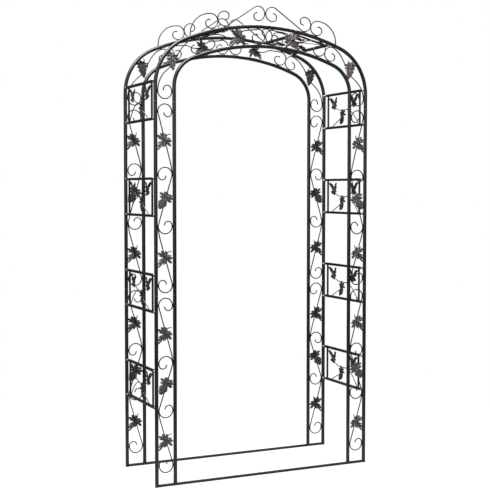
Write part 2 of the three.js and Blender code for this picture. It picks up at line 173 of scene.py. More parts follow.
def scroll_end(centre, start, sweep):
    """A rod that meets a circle at the angle start, follows it round and curls in."""
    last = start + sweep
    curl_centre = on_circle(centre, SCROLL_RADIUS - CURL_RADIUS, last)
    curl = arc(curl_centre, CURL_RADIUS, last, math.copysign(CURL_SWEEP, sweep), CURL_STEP)
    return arc(centre, SCROLL_RADIUS, start, sweep) + curl[1:]


def crossing_angle(a, b, side, reach=2 * SCROLL_RADIUS):
    """Where a straight rod crosses from one circle to the far side of its twin."""
    return direction(a, b) + side * math.degrees(math.acos(reach / math.dist(a, b)))


def touch_angle(centre, point, side):
    """Where a straight rod from a point outside touches a circle."""
    return crossing_angle(centre, point, side, SCROLL_RADIUS)


def over_crown(along, out):
    """A point over the crown, by its distance along the band and out from its middle."""
    return on_circle(CROWN, BAND_RADIUS + out, 90 - math.degrees(along / BAND_RADIUS))


def band_offset(point):
    """How far out from the middle of the band a point is, and the direction out."""
    x, z = point
    if z < CORNER_Z:
        return x - HALF_SPAN + BAND / 2, (1, 0)
    steepness = math.tan(math.radians(90 - CROWN_ANGLE))
    if x > CORNER_X and z - CORNER_Z < (x - CORNER_X) * steepness:
        centre, middle = CORNER, CORNER_RADIUS - BAND / 2
    else:
        centre, middle = CROWN, BAND_RADIUS
    reach = math.dist(centre, point)
    return reach - middle, ((x - centre[0]) / reach, (z - centre[1]) / reach)


def new_object(name, data):
    result = bpy.data.objects.new(name, data)
    bpy.context.scene.collection.objects.link(result)
    return result


# ---- meshes ----
class Shape:
    """Closed shells in millimetres, gathered into one object."""

    def __init__(self):
        self.points = []
        self.faces = []
        self.slots = []

    def add(self, points, faces, slot=0):
        base = len(self.points)
        self.points.extend(tuple(p) for p in points)
        self.faces.extend(tuple(base + i for i in face) for face in faces)
        self.slots.extend([slot] * len(faces))

    def moved(self, placed):
        """The same shells with each point sent through the function placed."""
        result = Shape()
        result.points = [placed(p) for p in self.points]
        result.faces = list(self.faces)
        result.slots = list(self.slots)
        return result

    def join(self, other):
        self.add(other.points, other.faces)
        self.slots[-len(other.slots):] = other.slots

    def build(self, name, materials, sharp):
        mesh = bpy.data.meshes.new(name)
        mesh.from_pydata([tuple(c * MM for c in p) for p in self.points], [], self.faces)
        for material in materials:
            mesh.materials.append(material)
        mesh.polygons.foreach_set("material_index", self.slots)
        mesh.polygons.foreach_set("use_smooth", [True] * len(self.faces))
        mesh.set_sharp_from_angle(angle=math.radians(sharp))
        mesh.update()
        return new_object(name, mesh)


def neighbours(count):
    """Each place round a ring, with the one after it."""
    return [(j, (j + 1) % count) for j in range(count)]


def ring_faces(rings, sides):
    """Quads between successive rings of points, facing out, with flat ends."""
    faces = []
    for i in range(rings - 1):
        a, b = i * sides, (i + 1) * sides
        faces += [(a + j, a + k, b + k, b + j) for j, k in neighbours(sides)]
    faces.append(tuple(reversed(range(sides))))
    faces.append(tuple(range((rings - 1) * sides, rings * sides)))
    return faces


def swept(path, sections):
    """Rings of section points carried along a path of points in space.

    Each section is a list of [sideways, across] points; sideways starts along +Y.
    """
    path = np.array(path, float)
    steps = np.diff(path, axis=0)
    steps /= np.linalg.norm(steps, axis=1)[:, None]
    tangents = np.vstack([steps[:1], steps[:-1] + steps[1:], steps[-1:]])
    tangents /= np.linalg.norm(tangents, axis=1)[:, None]
    side = np.array([0.0, 1.0, 0.0])
    points = []
    for place, tangent, section in zip(path, tangents, sections):
        side = side - tangent * (side @ tangent)
        side /= np.linalg.norm(side)
        other = np.cross(tangent, side)
        points.extend(place + s * side + o * other for s, o in section)
    return points, ring_faces(len(path), len(sections[0]))


def circle(radius, sides):
    return [on_circle(ORIGIN, radius, 360 * i / sides) for i in range(sides)]


def add_round(shape, path, radii, sides, slot=0):
    shape.add(*swept(path, [circle(r, sides) for r in radii]), slot)


def in_space(points, y):
    return [(x, y, z) for x, z in points]


def without_repeats(points):
    nearest = 0.05
    kept = [points[0]]
    for p in points[1:]:
        if math.dist(p, kept[-1]) > nearest:
            kept.append(p)
    return kept


def path_ends(path):
    """Both end points, each with the direction of the path there."""
    ends = []
    for end, a, b in ((0, 0, 1), (-1, -2, -1)):
        step = np.array(path[b]) - np.array(path[a])
        ends += [np.array(path[end]), step / math.dist(path[a], path[b])]
    return ends


def add_bar(shape, path, radius, sides=ROD_SIDES, chamfer=0.25):
    """A round bar along points in space, with its ends slightly rounded over."""
    path = without_repeats(path)
    cut = chamfer * radius
    first, inward, last, outward = path_ends(path)
    path = [tuple(first - inward * cut), *path, tuple(last + outward * cut)]
    radii = [radius - cut] + [radius] * (len(path) - 2) + [radius - cut]
    add_round(shape, path, radii, sides)


def add_rod(shape, path, y=0.0, radius=ROD / 2):
    add_bar(shape, in_space(path, y), radius)


def add_plate(shape, outline, middle, thickness, to_space):
    """A plate from a convex outline, with its edges eased; to_space takes [u, v, depth]."""
    points = []
    half = thickness / 2
    flat = half - EASED_EDGE
    levels = ((-half, EASED_EDGE), (-flat, 0), (flat, 0), (half, EASED_EDGE))
    for depth, ease in levels:
        for u, v in outline:
            reach = math.dist((u, v), middle)
            shrink = (reach - ease) / reach
            points.append(to_space(
                middle[0] + (u - middle[0]) * shrink, middle[1] + (v - middle[1]) * shrink, depth
            ))
    shape.add(points, ring_faces(len(levels), len(outline)))


def unit_ball(sides=10, levels=6):
    points = [(0, 0, -1)]
    for i in range(1, levels):
        level = -math.pi / 2 + math.pi * i / levels
        for j in range(sides):
            turn = 2 * math.pi * j / sides
            across, deep = math.cos(turn), math.sin(turn)
            points.append((math.cos(level) * across, math.cos(level) * deep, math.sin(level)))
    points.append((0, 0, 1))
    top = len(points) - 1
    ring = neighbours(sides)
    faces = [(0, 1 + k, 1 + j) for j, k in ring]
    for i in range(levels - 2):
        a, b = 1 + i * sides, 1 + (i + 1) * sides
        faces += [(a + j, a + k, b + k, b + j) for j, k in ring]
    last = 1 + (levels - 2) * sides
    faces += [(top, last + j, last + k) for j, k in ring]
    return points, faces


BALL = unit_ball()
BEAD = unit_ball(8, 5)


def add_ball(shape, centre, radii, slot=0, turn=0.0, ball=BALL):
    """An ellipsoid turned in the plane of the arch."""
    c, s = on_circle(ORIGIN, 1, turn)
    points = []
    for x, y, z in ball[0]:
        u, v = x * radii[0], z * radii[2]
        depth = centre[1] + y * radii[1]
        points.append((centre[0] + u * c - v * s, depth, centre[2] + u * s + v * c))
    shape.add(points, ball[1], slot)


def add_weld(shape, x, z, turn, length=5.5):
    """A weld bead: a row of overlapping drops along the joint."""
    depth, height = 2.9, 2.1
    spacing = length * 0.42
    for step, size in ((-1, 0.85), (0, 1.0), (1, 0.9)):
        drop_x, drop_z = on_circle((x, z), step * spacing, turn)
        radii = (length / 2 * size, depth * size, height * size)
        add_ball(shape, (drop_x, 0, drop_z), radii, 0, turn, BEAD)


# ---- leaves and grapes, in relief towards -Y ----
TEETH = 2  # between a tip and the notch beside it
TOOTH = 1.6
LOBE_SWELL = 0.24
LEAF_LEVELS = (0.1, 0.28, 0.48, 0.68, 0.85, 0.97)  # rings, from the middle out
PLEAT = 2.3
VEIN_FADE = 0.6
DOME_LIFT = 0.45  # share of a leaf's dome that stands in front of its plane


def leaf_columns(lobes):
    """Outline of a leaf as [turn, reach, relief, vein], from its tips and notches."""
    columns = []
    closed = [*lobes, (lobes[0][0] + 360, lobes[0][1])]
    for i, ((turn, reach), (next_turn, next_reach)) in enumerate(zip(closed, closed[1:])):
        is_tip = i % 2 == 0
        start, end = on_circle(ORIGIN, reach, turn), on_circle(ORIGIN, next_reach, next_turn)
        columns.append((turn, reach, 1.0 if is_tip else -1.0, 1.0 if is_tip else 0.0))
        samples = 2 * TEETH + 1
        for k in range(1, samples + 1):
            t = k / (samples + 1)
            x, z = start[0] + (end[0] - start[0]) * t, start[1] + (end[1] - start[1]) * t
            swell = LOBE_SWELL * math.sin(math.pi * t)
            out = math.hypot(x, z) * (1 + swell) + (TOOTH if k % 2 == 0 else -0.3 * TOOTH)
            angle = direction(ORIGIN, (x, z))
            angle += 360 * round((turn + (next_turn - turn) * t - angle) / 360)
            relief = math.cos(math.pi * t) * (1 if is_tip else -1)
            columns.append((angle, out, relief, 0.0))
    return columns


def add_leaf(shape, centre, axis, lobes, y, slot=1, scale=1.0, dome=5.0, thickness=2.4):
    """A cast leaf: pleated lobes, a raised vein to each tip and a toothed edge."""
    columns = leaf_columns(lobes)
    count = len(columns)
    largest = max(reach for _, reach, _, _ in columns)
    half = thickness / 2
    crown = y - dome * DOME_LIFT
    front, back, rim = [], [], []

    def height(reach, relief, level):
        fall = (reach / largest * level) ** 2
        return dome * (DOME_LIFT - fall) + PLEAT * relief * level * (1.2 - 0.5 * level)

    for level in LEAF_LEVELS:
        for turn, reach, relief, vein in columns:
            x, z = on_circle(centre, reach * level * scale, axis + turn)
            surface = y - height(reach, relief, level)
            ridge = vein * (1 - level * VEIN_FADE)
            front.append((x, surface - half - ridge, z))
            back.append((x, surface + half + ridge * 0.3, z))
    for turn, reach, relief, _ in columns:
        x, z = on_circle(centre, reach * scale, axis + turn)
        rim.append((x, y - height(reach, relief, 1), z))
    middle_front = (centre[0], crown - half - 0.8, centre[1])
    middle_back = (centre[0], crown + half, centre[1])
    points = [middle_front, *front, *rim, *reversed(back), middle_back]
    end = len(points) - 1
    rings = []
    for i in range(2 * len(LEAF_LEVELS) + 1):
        ring = [1 + i * count + j for j in range(count)]
        # the rings behind the rim are reversed, so their columns run the other way
        rings.append(ring if i <= len(LEAF_LEVELS) else ring[::-1])
    around_middle = neighbours(count)
    faces = [(0, rings[0][j], rings[0][k]) for j, k in around_middle]
    for a, b in zip(rings, rings[1:]):
        faces += [(a[j], b[j], b[k], a[k]) for j, k in around_middle]
    faces += [(end, rings[-1][k], rings[-1][j]) for j, k in around_middle]
    shape.add(points, faces, slot)


def on_side(shape, side):
    """The shape as it is for the right half, and mirrored for the left."""
    if side > 0:
        return shape
    result = shape.moved(lambda p: (-p[0], p[1], p[2]))
    result.faces = [tuple(reversed(f)) for f in shape.faces]
    return result


# Outlines as [turn, reach] of tips and of the notches between them, for the right half.
VINE_LEAF = [
    (-53, 70), (-46, 50), (-37, 54), (-29, 37), (-20, 42), (-7, 15), (9, 38), (17, 35), (27, 50),
    (43, 34), (60, 41), (78, 27), (95, 33), (130, 18), (163, 31), (175, 27), (187, 37), (205, 29),
    (226, 48), (250, 22), (280, 37), (294, 35),
]
BANNER_LEAF = [
    (8, 38), (21, 26), (36, 44), (58, 25), (84, 30), (132, 22), (165, 33), (178, 28), (192, 41),
    (208, 29), (229, 38), (262, 18), (290, 22), (335, 18),
]
CORNER_LEAF = [
    (-36, 36), (-14, 25), (6, 43), (32, 23), (58, 26), (96, 18), (136, 25), (152, 21), (168, 40),
    (184, 27), (200, 38), (226, 20), (262, 22), (290, 18),
]
PENDANT_LEAF = [
    (-24, 30), (-4, 19), (12, 36), (36, 18), (74, 28), (116, 15), (150, 24), (172, 17), (196, 29),
    (226, 15), (262, 19), (300, 15),
]


def add_grapes(shape, top, axis, rows, pitch, y, seed=1):
    """A bunch of berries in relief on both faces, its rows hanging along axis from top."""
    jitter = 0.6
    flattest, fullest = 1.4, 3.8
    drop = pitch * 0.84
    half_width = max(rows) / 2
    draw = random.Random(seed)
    for face in (-1, 1):
        for i, count in enumerate(rows):
            taper = 1 - (i / len(rows)) ** 2 * 0.6
            for j in range(count):
                from_middle = j - (count - 1) / 2
                across = from_middle * pitch + draw.uniform(-jitter, jitter)
                along = i * drop + draw.uniform(-jitter, jitter)
                radius = pitch * draw.uniform(0.49, 0.56)
                bulge = flattest + fullest * (1 - (from_middle / half_width) ** 2) * taper
                x, z = on_circle(on_circle(top, along, axis), across, axis + 90)
                add_ball(shape, (x, y + face * bulge, z), (radius, radius * 0.95, radius), 2)


def add_stem(shape, points, slot):
    """A thin stem that leaves a leaf along given points and ends in a knob."""
    thickest, taper, y = 3.0, 0.7, -1.0
    knob = (3.0, 2.6, 3.0)
    path = smooth_through(points, 5)
    radii = [thickest - taper * i / len(path) for i in range(len(path))]
    add_round(shape, in_space(path, y), radii, STEM_SIDES, slot)
    add_ball(shape, (path[-1][0], y, path[-1][1]), knob, slot, 0, BEAD)


def shifted(point, across, up):
    return (point[0] + across, point[1] + up)


def around(centre, offsets):
    return [shifted(centre, *offset) for offset in offsets]


# ---- tubes ----
SPIGOT_RADIUS = TUBE_RADIUS - 1.9
COLLAR_RADIUS = TUBE_RADIUS - 0.8
COLLAR_REACH = 4


def add_tube(shape, path):
    """A tube along points in space, with extra rings for its eased rims."""
    eased, settled = 0.9, 3.5
    first, inward, last, outward = path_ends(path)
    opening = [path[0], tuple(first + inward * eased), tuple(first + inward * settled)]
    closing = [tuple(last - outward * settled), tuple(last - outward * eased), path[-1]]
    path = opening + path[1:-1] + closing
    rim = [TUBE_RADIUS - TUBE_RIM]
    add_round(shape, path, rim + [TUBE_RADIUS] * (len(path) - 2) + rim, TUBE_SIDES)


def add_lug(shape, x, z, tilt, side):
    """A drilled ear welded behind a tube, for one end of a panel's rail."""
    half = LUG_HEIGHT / 2
    root = TUBE_RADIUS - 3
    middle = (12, 0)
    bead = (2.0, 3.6, 2.0)
    outline = [(root, -half), (BOLT_OFFSET, -half)]
    outline += arc((BOLT_OFFSET, 0), half, -90, 180, 15)[1:-1]
    outline += [(BOLT_OFFSET, half), (root, half)]
    c, s = on_circle(ORIGIN, 1, tilt)

    def to_space(along, up, depth):
        out = depth + LUG_THICKNESS / 2
        return (x + out * c - up * s, along, z + out * s + up * c)

    piece = Shape()
    add_plate(piece, outline, middle, LUG_THICKNESS, to_space)
    for end in (-1, 1):
        add_ball(piece, to_space(TUBE_RADIUS, end * half, 0), bead, 0, tilt, BEAD)
    shape.join(on_side(piece, side))


def leg_tube(foot, top, inset, lug_heights, side):
    """One section of a leg, with the spigot that enters the next one at its top."""
    inside, beyond = 4, 6
    shape = Shape()
    x = (HALF_SPAN - inset) * side
    add_tube(shape, [(x, 0, foot), (x, 0, top)])
    spigot = [(x, 0, top - inside), (x, 0, top + beyond)]
    add_bar(shape, spigot, SPIGOT_RADIUS, TUBE_SIDES, chamfer=0.1)
    for z in lug_heights:
        add_lug(shape, HALF_SPAN - inset, z, 0, side)
    return shape


def arch_centre_line(inset):
    """The right half of a bent tube, from the leg's top joint to the crown."""
    shoulder_step, crown_step = 2.5, 1
    crown = CROWN_RADIUS - inset
    bend = 90 - CROWN_ANGLE
    shoulder = arc(CORNER, CORNER_RADIUS - inset, 0, bend, shoulder_step)
    over = arc(CROWN, crown, bend, CROWN_ANGLE, crown_step)
    return [(HALF_SPAN - inset, JOINT_Z + GAP), *shoulder, *over[1:-1], (GAP / 2, CROWN_Z + crown)]


def arch_tube(inset, lugs, side):
    """Half of a bent tube; the left half also carries the collar at the crown."""
    shape = Shape()
    centre_line = [(x * side, 0, z) for x, z in arch_centre_line(inset)]
    add_tube(shape, centre_line)
    if side < 0:
        x, _, z = centre_line[-1]
        collar = [(x - COLLAR_REACH, 0, z), (x + COLLAR_REACH, 0, z)]
        add_bar(shape, collar, COLLAR_RADIUS, TUBE_SIDES, chamfer=0.1)
    for x, z, tilt in lugs:
        add_lug(shape, x, z, tilt, side)
    return shape


# ---- scrollwork, for the right half of an arch ----
# Stems beside a leaf, as [across, up] from its middle.
HOOKED_STEM = [(-5, 12), (-9, 20), (-15, 26), (-22, 28), (-29, 28)]
UPRIGHT_STEM = [(-5, 12), (-9, 21), (-11, 30), (-12, 38)]
SHOULDER_STEM = [(-7, 40), (-9, 48), (-10, 56), (-7, 62)]
# Berries in each row of a bunch, from its stem to its tip.
LEG_BUNCH = (3, 4, 5, 6, 5, 4, 3, 2)
SHOULDER_BUNCH = (4, 5, 5, 6, 5, 4, 4, 3, 2, 1)
PANEL_BUNCH = (2, 3, 4, 4, 4, 3, 2, 1)
# The dip of the rod between the crown's ring and the pair, as [along, out].
CROWN_DIP = [(118, 29), (152, 9), (182, 0), (215, 5), (250, 24)]


def add_band_welds(shape, path):
    """Weld beads wherever a rod rests against one of the two tubes of its band."""
    slack = 1.5
    wall = BAND / 2 - TUBE_RADIUS
    reach = wall - ROD / 2
    offsets = [band_offset(p) for p in path]
    for i in range(1, len(path) - 1):
        here = abs(offsets[i][0])
        if here < reach - slack:
            continue
        if here < abs(offsets[i - 1][0]) or here <= abs(offsets[i + 1][0]):
            continue
        out, (nx, nz) = offsets[i]
        shift = math.copysign(wall, out) - out
        foot = shifted(path[i], nx * shift, nz * shift)
        add_weld(shape, *foot, direction(ORIGIN, (nx, nz)) + 90)


def add_scroll(shape, path):
    add_rod(shape, path)
    add_band_welds(shape, without_repeats(path))


def leg_rods(upper, middle_upper, middle_lower, lower):
    """A scroll at each end of a leg section and the S-scroll between them."""
    rods = Shape()
    straight, bend_length = 30, 34
    for ring, beside, way in ((upper, middle_upper, 1), (lower, middle_lower, -1)):
        wall = ring[0] - way * SCROLL_RADIUS
        start = (wall, beside[1] + way * straight)
        touch = touch_angle(ring, start, 1)
        contact = on_circle(ring, SCROLL_RADIUS, touch)
        run = math.dist(start, contact)
        bend = tuple(p + (q - p) * bend_length / run for p, q in zip(start, contact))
        path = [(wall, beside[1] - way * 4), *bezier((wall, beside[1] + way * 2), start, bend)]
        add_scroll(rods, path + scroll_end(ring, touch, SCROLL_SWEEP))
    from_upper = crossing_angle(middle_upper, middle_lower, -1)
    from_lower = crossing_angle(middle_lower, middle_upper, -1)
    add_scroll(rods, scroll_end(middle_upper, from_upper, -SCROLL_SWEEP)[::-1]
               + scroll_end(middle_lower, from_lower, -SCROLL_SWEEP))
    return rods


def leg_scrolls(top, bottom, shifts, hooked):
    """Scrollwork of a leg section between the middles of its end scrolls."""
    upper_leaf_up, upper_coil_up, bunch_up, lower_coil_up, lower_leaf_up = shifts
    x = HALF_SPAN - BAND / 2
    from_end = FROM_END * (top - bottom)
    middle_upper = (x, top - from_end + upper_coil_up)
    middle_lower = (x, bottom + from_end + lower_coil_up)
    rods = leg_rods((x, top), middle_upper, middle_lower, (x, bottom))
    leaves = Shape()
    upper_leaf = (x + 1, top - LEAF_DROP + upper_leaf_up)
    lower_leaf = (x - 1, bottom + LEAF_DROP - 4 + lower_leaf_up)
    for centre in (upper_leaf, lower_leaf):
        add_leaf(leaves, centre, 0, VINE_LEAF, y=LEAF_FACE, scale=0.89)
        add_stem(leaves, around(centre, HOOKED_STEM if hooked else UPRIGHT_STEM), slot=0)
    bunch = (x, (top + bottom) / 2 - 16 + bunch_up)
    banner = shifted(bunch, -4, 23)
    add_leaf(leaves, banner, 0, BANNER_LEAF, y=BUNCH_LEAF_FACE, scale=0.92, dome=4)
    add_grapes(leaves, shifted(bunch, 3, 11), -57, LEG_BUNCH, y=GRAPE_FACE, pitch=8.2)
    return rods, leaves


def arch_rods(bunch):
    """From the ring above the leg joint, past the shoulder's grapes, to the crown."""
    rods = Shape()
    leg_ring = (HALF_SPAN - BAND / 2, JOINT_Z + 49)
    crown_ring = over_crown(SCROLL_RADIUS + ROD / 2 + GAP / 2, 0)
    first_ring = over_crown(PAIR_ALONG, 0)
    second_ring = over_crown(PAIR_ALONG + 2 * SCROLL_RADIUS, 0)

    leg_start = on_circle(leg_ring, SCROLL_RADIUS, 0)
    below = shifted(bunch, 1, -18)
    to_leg = bezier(below, shifted(below, 39, -28), shifted(leg_start, 0, 60), leg_start)
    add_scroll(rods, to_leg + scroll_end(leg_ring, 0, -SCROLL_SWEEP))

    start_angle = 62
    start = on_circle(second_ring, SCROLL_RADIUS, start_angle)
    beside = shifted(bunch, -25, 14)
    to_pair = bezier(beside, shifted(beside, -3, 34), shifted(start, 36, -14), start)
    add_scroll(rods, to_pair + scroll_end(second_ring, start_angle, 222))

    crown_end = scroll_end(crown_ring, 66, 262)[::-1]
    pair_end = scroll_end(first_ring, 98, -250)
    dip = [over_crown(*p) for p in CROWN_DIP]
    joint = smooth_through([crown_end[-1], *dip, pair_end[0]], 5)
    add_scroll(rods, crown_end + joint + pair_end)
    contact = over_crown(PAIR_ALONG + SCROLL_RADIUS, 0)
    add_weld(rods, *contact, direction(first_ring, second_ring) + 90)
    return rods


def arch_scrolls(across, down, leaf_along, leaf_scale):
    """Scrollwork of the bent half of a band, no two of them quite alike."""
    shoulder = on_circle(CORNER, CORNER_RADIUS - BAND / 2, SHOULDER_ANGLE)
    bunch = shifted(shifted(shoulder, -3, -8), across, -down)
    leaves = Shape()
    on_band = over_crown(leaf_along, 0)
    add_leaf(leaves, on_band, 8, VINE_LEAF, y=LEAF_FACE, slot=3, scale=leaf_scale)
    above = shifted(bunch, 1, 33)
    add_leaf(leaves, above, 0, CORNER_LEAF, y=BUNCH_LEAF_FACE, dome=4, scale=0.86)
    add_stem(leaves, around(bunch, SHOULDER_STEM), slot=1)
    grapes = shifted(bunch, 2, 23)
    add_grapes(leaves, grapes, -101, SHOULDER_BUNCH, y=GRAPE_FACE, pitch=7.7, seed=2)
    return arch_rods(bunch), leaves


def on_crown(x, clearance=0):
    """Height of the outer tube's upper edge over the crown."""
    return CROWN_Z + math.sqrt((CROWN_RADIUS + TUBE_RADIUS + clearance) ** 2 - x**2)


def crest():
    """Scrolls that stand on the outer tube, for the right half of an arch."""
    rods = Shape()
    crown_top = CROWN_Z + CROWN_RADIUS
    apex = (SCROLL_RADIUS + ROD / 2 + GAP / 2, crown_top + 67)
    small = (228, crown_top + 28)
    large = (301, crown_top + 12)
    tall, low = crossing_angle(apex, small, 1), crossing_angle(small, apex, 1)
    sweep_centre = (large[0] + 4, large[1] + SCROLL_RADIUS - CREST_RISE)
    foot_x = sweep_centre[0] + CREST_RISE
    foot = (foot_x, on_crown(foot_x, 1))
    add_rod(rods, scroll_end(apex, tall, CREST_SWEEP)[::-1] + scroll_end(small, low, CREST_SWEEP))
    outer_sweep = arc(sweep_centre, CREST_RISE, 14, 76, 4)
    add_rod(rods, [foot, *outer_sweep, *scroll_end(large, 90, SCROLL_SWEEP)])
    for x, turn in ((small[0], -11), (large[0], -14), (foot[0], 70)):
        add_weld(rods, x, on_crown(x), turn)
    add_weld(rods, (small[0] + large[0]) / 2, small[1] - 6, 70)
    return rods


# ---- panels: [along, thickness, up] from the middle of the lower rail ----
# Stems on one side of a panel, from its bar or rail to its middle.
UPPER_STEM = [
    (BAR_OFFSET - 3, PANEL_HEIGHT - 8), (153, 160), (122, 142), (96, 116), (66, 100), (30, 92),
    (-4, 92),
]
LOW_STEM = [(130, 3), (106, 15), (80, 27), (50, 40), (16, 56)]
HIGH_STEM = [(158, 4), (138, 30), (110, 58), (75, 81), (38, 92), (0, 90)]
# Small leaves at an upper corner, as [base, tip, width, place through the panel].
LEAFLETS = (
    ((106, 126), (149, 168), 22, -0.5),
    ((104, 122), (79, 168), 22, -1.2),
    ((84, 122), (138, 114), 24, -1.6),
    ((118, 126), (98, 100), 17, -2.0),
)


def near_ends(a, b):
    """Two points on the straight from a to b, close to its ends."""
    return [tuple(a[k] + (b[k] - a[k]) * t for k in range(2)) for t in (0.12, 0.88)]


def rounded_square(width, corner, tall=None):
    """Outline of a square or oblong section with rounded corners."""
    half, half_tall = width / 2 - corner, (tall or width) / 2 - corner
    outline = []
    for i, (across, up) in enumerate(((1, 1), (-1, 1), (-1, -1), (1, -1))):
        bend = arc((across * half, up * half_tall), corner, 90 * i, 90, 22.5)
        if outline:
            outline += near_ends(outline[-1], bend[0])
        outline += bend
    return outline + near_ends(outline[-1], outline[0])


def rail_stations():
    """How a rail changes towards one end, as [along, how flat, share of its height]."""
    tube_end = EYE_OFFSET - PRESSED_LENGTH
    eye = RAIL / 2
    stations = []
    for past, flat in ((0, 0), (3, 0.08), (6, 0.35), (9, 0.75), (12, 0.97), (14, 1), (21, 1)):
        stations.append((tube_end + past, flat, 1.0))
    for turn in (0, 20, 40, 55, 68, 80):
        angle = math.radians(turn)
        stations.append((EYE_OFFSET + math.sin(angle) * eye, 1, math.cos(angle)))
    return stations


def rail(height):
    """A square rail whose ends are pressed flat into eyes for the bolts."""
    tube_corner = 1.8
    pressed_corner = LUG_THICKNESS / 2 - 0.3
    stations = rail_stations()
    path, sections = [], []
    for along, flat, share in [(-a, f, n) for a, f, n in reversed(stations)] + stations:
        thick = RAIL + (LUG_THICKNESS - RAIL) * flat
        corner = tube_corner + (pressed_corner - tube_corner) * flat
        tall = max(RAIL * share, 2 * corner + 0.2)
        path.append((along, 0, height))
        sections.append(rounded_square(thick, corner, tall))
    shape = Shape()
    shape.add(*swept(path, sections))
    return shape


def leaflet(shape, base, tip, width, y):
    """A small pointed leaf from its base to its tip."""
    length = math.dist(base, tip)
    turn = direction(base, tip)
    centre = on_circle(base, length * 0.32, turn)
    reach = length * 0.68
    half = [
        (26, reach * 0.58), (48, width * 0.62), (75, width * 0.46), (105, width * 0.52),
        (150, length * 0.25),
    ]
    other_half = [(360 - around_tip, out) for around_tip, out in reversed(half)]
    lobes = [(0, reach), *half, (180, length * 0.33), *other_half]
    add_leaf(shape, centre, turn, lobes, y=y, dome=2.2, thickness=2.0)


def panel_frame():
    """Two rails, the upright bars welded between them and the stems of the leaves."""
    bead, sunk = (2.2, 4.2, 2.2), 0.4
    bar = rounded_square(BAR, 1.2)
    shape = Shape()
    shape.join(rail(0))
    shape.join(rail(PANEL_HEIGHT))
    for end in (-1, 1):
        along = end * BAR_OFFSET
        shape.add(*swept([(along, 0, 2), (along, 0, PANEL_HEIGHT - 2)], [bar, bar]))
        for height, way in ((RAIL / 2, 1), (PANEL_HEIGHT - RAIL / 2, -1)):
            for beside in (-1, 1):
                corner = (along + beside * BAR / 2, 0, height - way * sunk)
                add_ball(shape, corner, bead, ball=BEAD)
        for points, y in ((UPPER_STEM, 0.8), (LOW_STEM if end > 0 else HIGH_STEM, -0.6)):
            stem = smooth_through([(end * across, up) for across, up in points], 6)
            add_rod(shape, stem, y, PANEL_STEM_RADIUS)
    return shape


def panel_leaves():
    """Four small leaves at each upper corner, and a leaf above grapes in the middle."""
    corner = Shape()
    for base, tip, width, y in LEAFLETS:
        leaflet(corner, base, tip, width, y)
    shape = Shape()
    for side in (-1, 1):
        shape.join(on_side(corner, side))
    add_leaf(shape, (5, 72), 0, PENDANT_LEAF, y=2.4, dome=-3)
    add_grapes(shape, (6, 54), -60, PANEL_BUNCH, y=3.4, pitch=7.0, seed=3)
    return shape


# ---- bolts, on the same axes as the panels ----
BOLT_SIDES = 24


def round_outline(radius):
    """Outline of a circle, as [reach, turn]."""
    return [(radius, 360 * i / BOLT_SIDES) for i in range(BOLT_SIDES)]


def hexagon(width):
    """Outline of a hexagon by its width across flats, as [reach, turn]."""
    outline = []
    for half, turn in round_outline(width / 2):
        from_flat = (turn + 30) % 60 - 30
        outline.append((half / math.cos(math.radians(from_flat)), turn))
    return outline


def add_turned(shape, centre, levels):
    """Rings about the bolt's axis: each level is [height, outline]."""
    points = []
    for height, outline in levels:
        for reach, turn in outline:
            x, z = on_circle(centre, reach, turn)
            points.append((x, height, z))
    shape.add(points, [tuple(reversed(f)) for f in ring_faces(len(levels), BOLT_SIDES)])


def bolt(centre):
    """A hexagon bolt through a lug and an eye, with its washers and nut."""
    pitch, turns = 0.9, 5
    outer = -LUG_THICKNESS - 0.1
    inner = LUG_THICKNESS + 2 * GAP
    flats = hexagon(10)
    shape = Shape()
    for start, way in ((outer, -1), (inner, 1)):
        washer = [(0, 5.6), (0.2, 6.0), (1.0, 6.0), (1.2, 5.6)]
        levels = [(start + way * h, round_outline(r)) for h, r in washer]
        add_turned(shape, centre, levels if way > 0 else levels[::-1])
    head = [(1.2, hexagon(9.6)), (1.5, flats), (4.2, flats), (4.9, round_outline(4.5))]
    add_turned(shape, centre, [(outer - h, o) for h, o in head][::-1])
    nut = [(1.2, round_outline(4.6)), (1.6, flats), (5.4, flats), (5.9, round_outline(4.6))]
    add_turned(shape, centre, [(inner + h, o) for h, o in nut])
    thread = [(inner + 5, 2.9)]
    for i in range(turns):
        thread += [(inner + 6 + i * pitch, 3.0), (inner + 6.45 + i * pitch, 2.6)]
    thread.append((inner + 10.6, 2.2))
    add_turned(shape, centre, [(h, round_outline(r)) for h, r in thread])
    return shape


def bolts():
    shape = Shape()
    for end in (-1, 1):
        for height in (0, PANEL_HEIGHT):
            shape.join(bolt((end * EYE_OFFSET, height)))
    return shape


# ---- materials ----
def new_material(name):
    material = bpy.data.materials.new(name)
    material.use_nodes = True
    tree = material.node_tree
    return material, tree, tree.nodes["Principled BSDF"]


def feed(tree, node, inputs):
    """Links each input to another node's output, or sets it to a value."""
    for name, source in inputs.items():
        if isinstance(source, bpy.types.NodeSocket):
            tree.links.new(source, node.inputs[name])
        else:
            node.inputs[name].default_value = source


def new_node(tree, kind, inputs):
    node = tree.nodes.new("ShaderNode" + kind)
    feed(tree, node, inputs)
    return node


def object_place(tree):
    return new_node(tree, "TexCoord", {}).outputs["Object"]


def object_noise(tree, scale, detail, roughness=0.55, distortion=0.0):
    return new_node(tree, "TexNoise", {
        "Vector": object_place(tree), "Scale": scale, "Detail": detail,
        "Roughness": roughness, "Distortion": distortion,
    }).outputs["Fac"]


def ramp(tree, source, stops):
    """Colours along a source: each stop is [position, colour]."""
    node = new_node(tree, "ValToRGB", {"Fac": source})
    elements = node.color_ramp.elements
    while len(elements) < len(stops):
        elements.new(0.5)
    for element, (position, colour) in zip(elements, stops):
        element.position = position
        element.color = (*colour, 1)
    return node.outputs["Color"]


def remap(tree, source, low, high, from_low=0.3, from_high=0.7):
    return new_node(tree, "MapRange", {
        "Value": source, "From Min": from_low, "From Max": from_high,
        "To Min": low, "To Max": high,
    }).outputs["Result"]


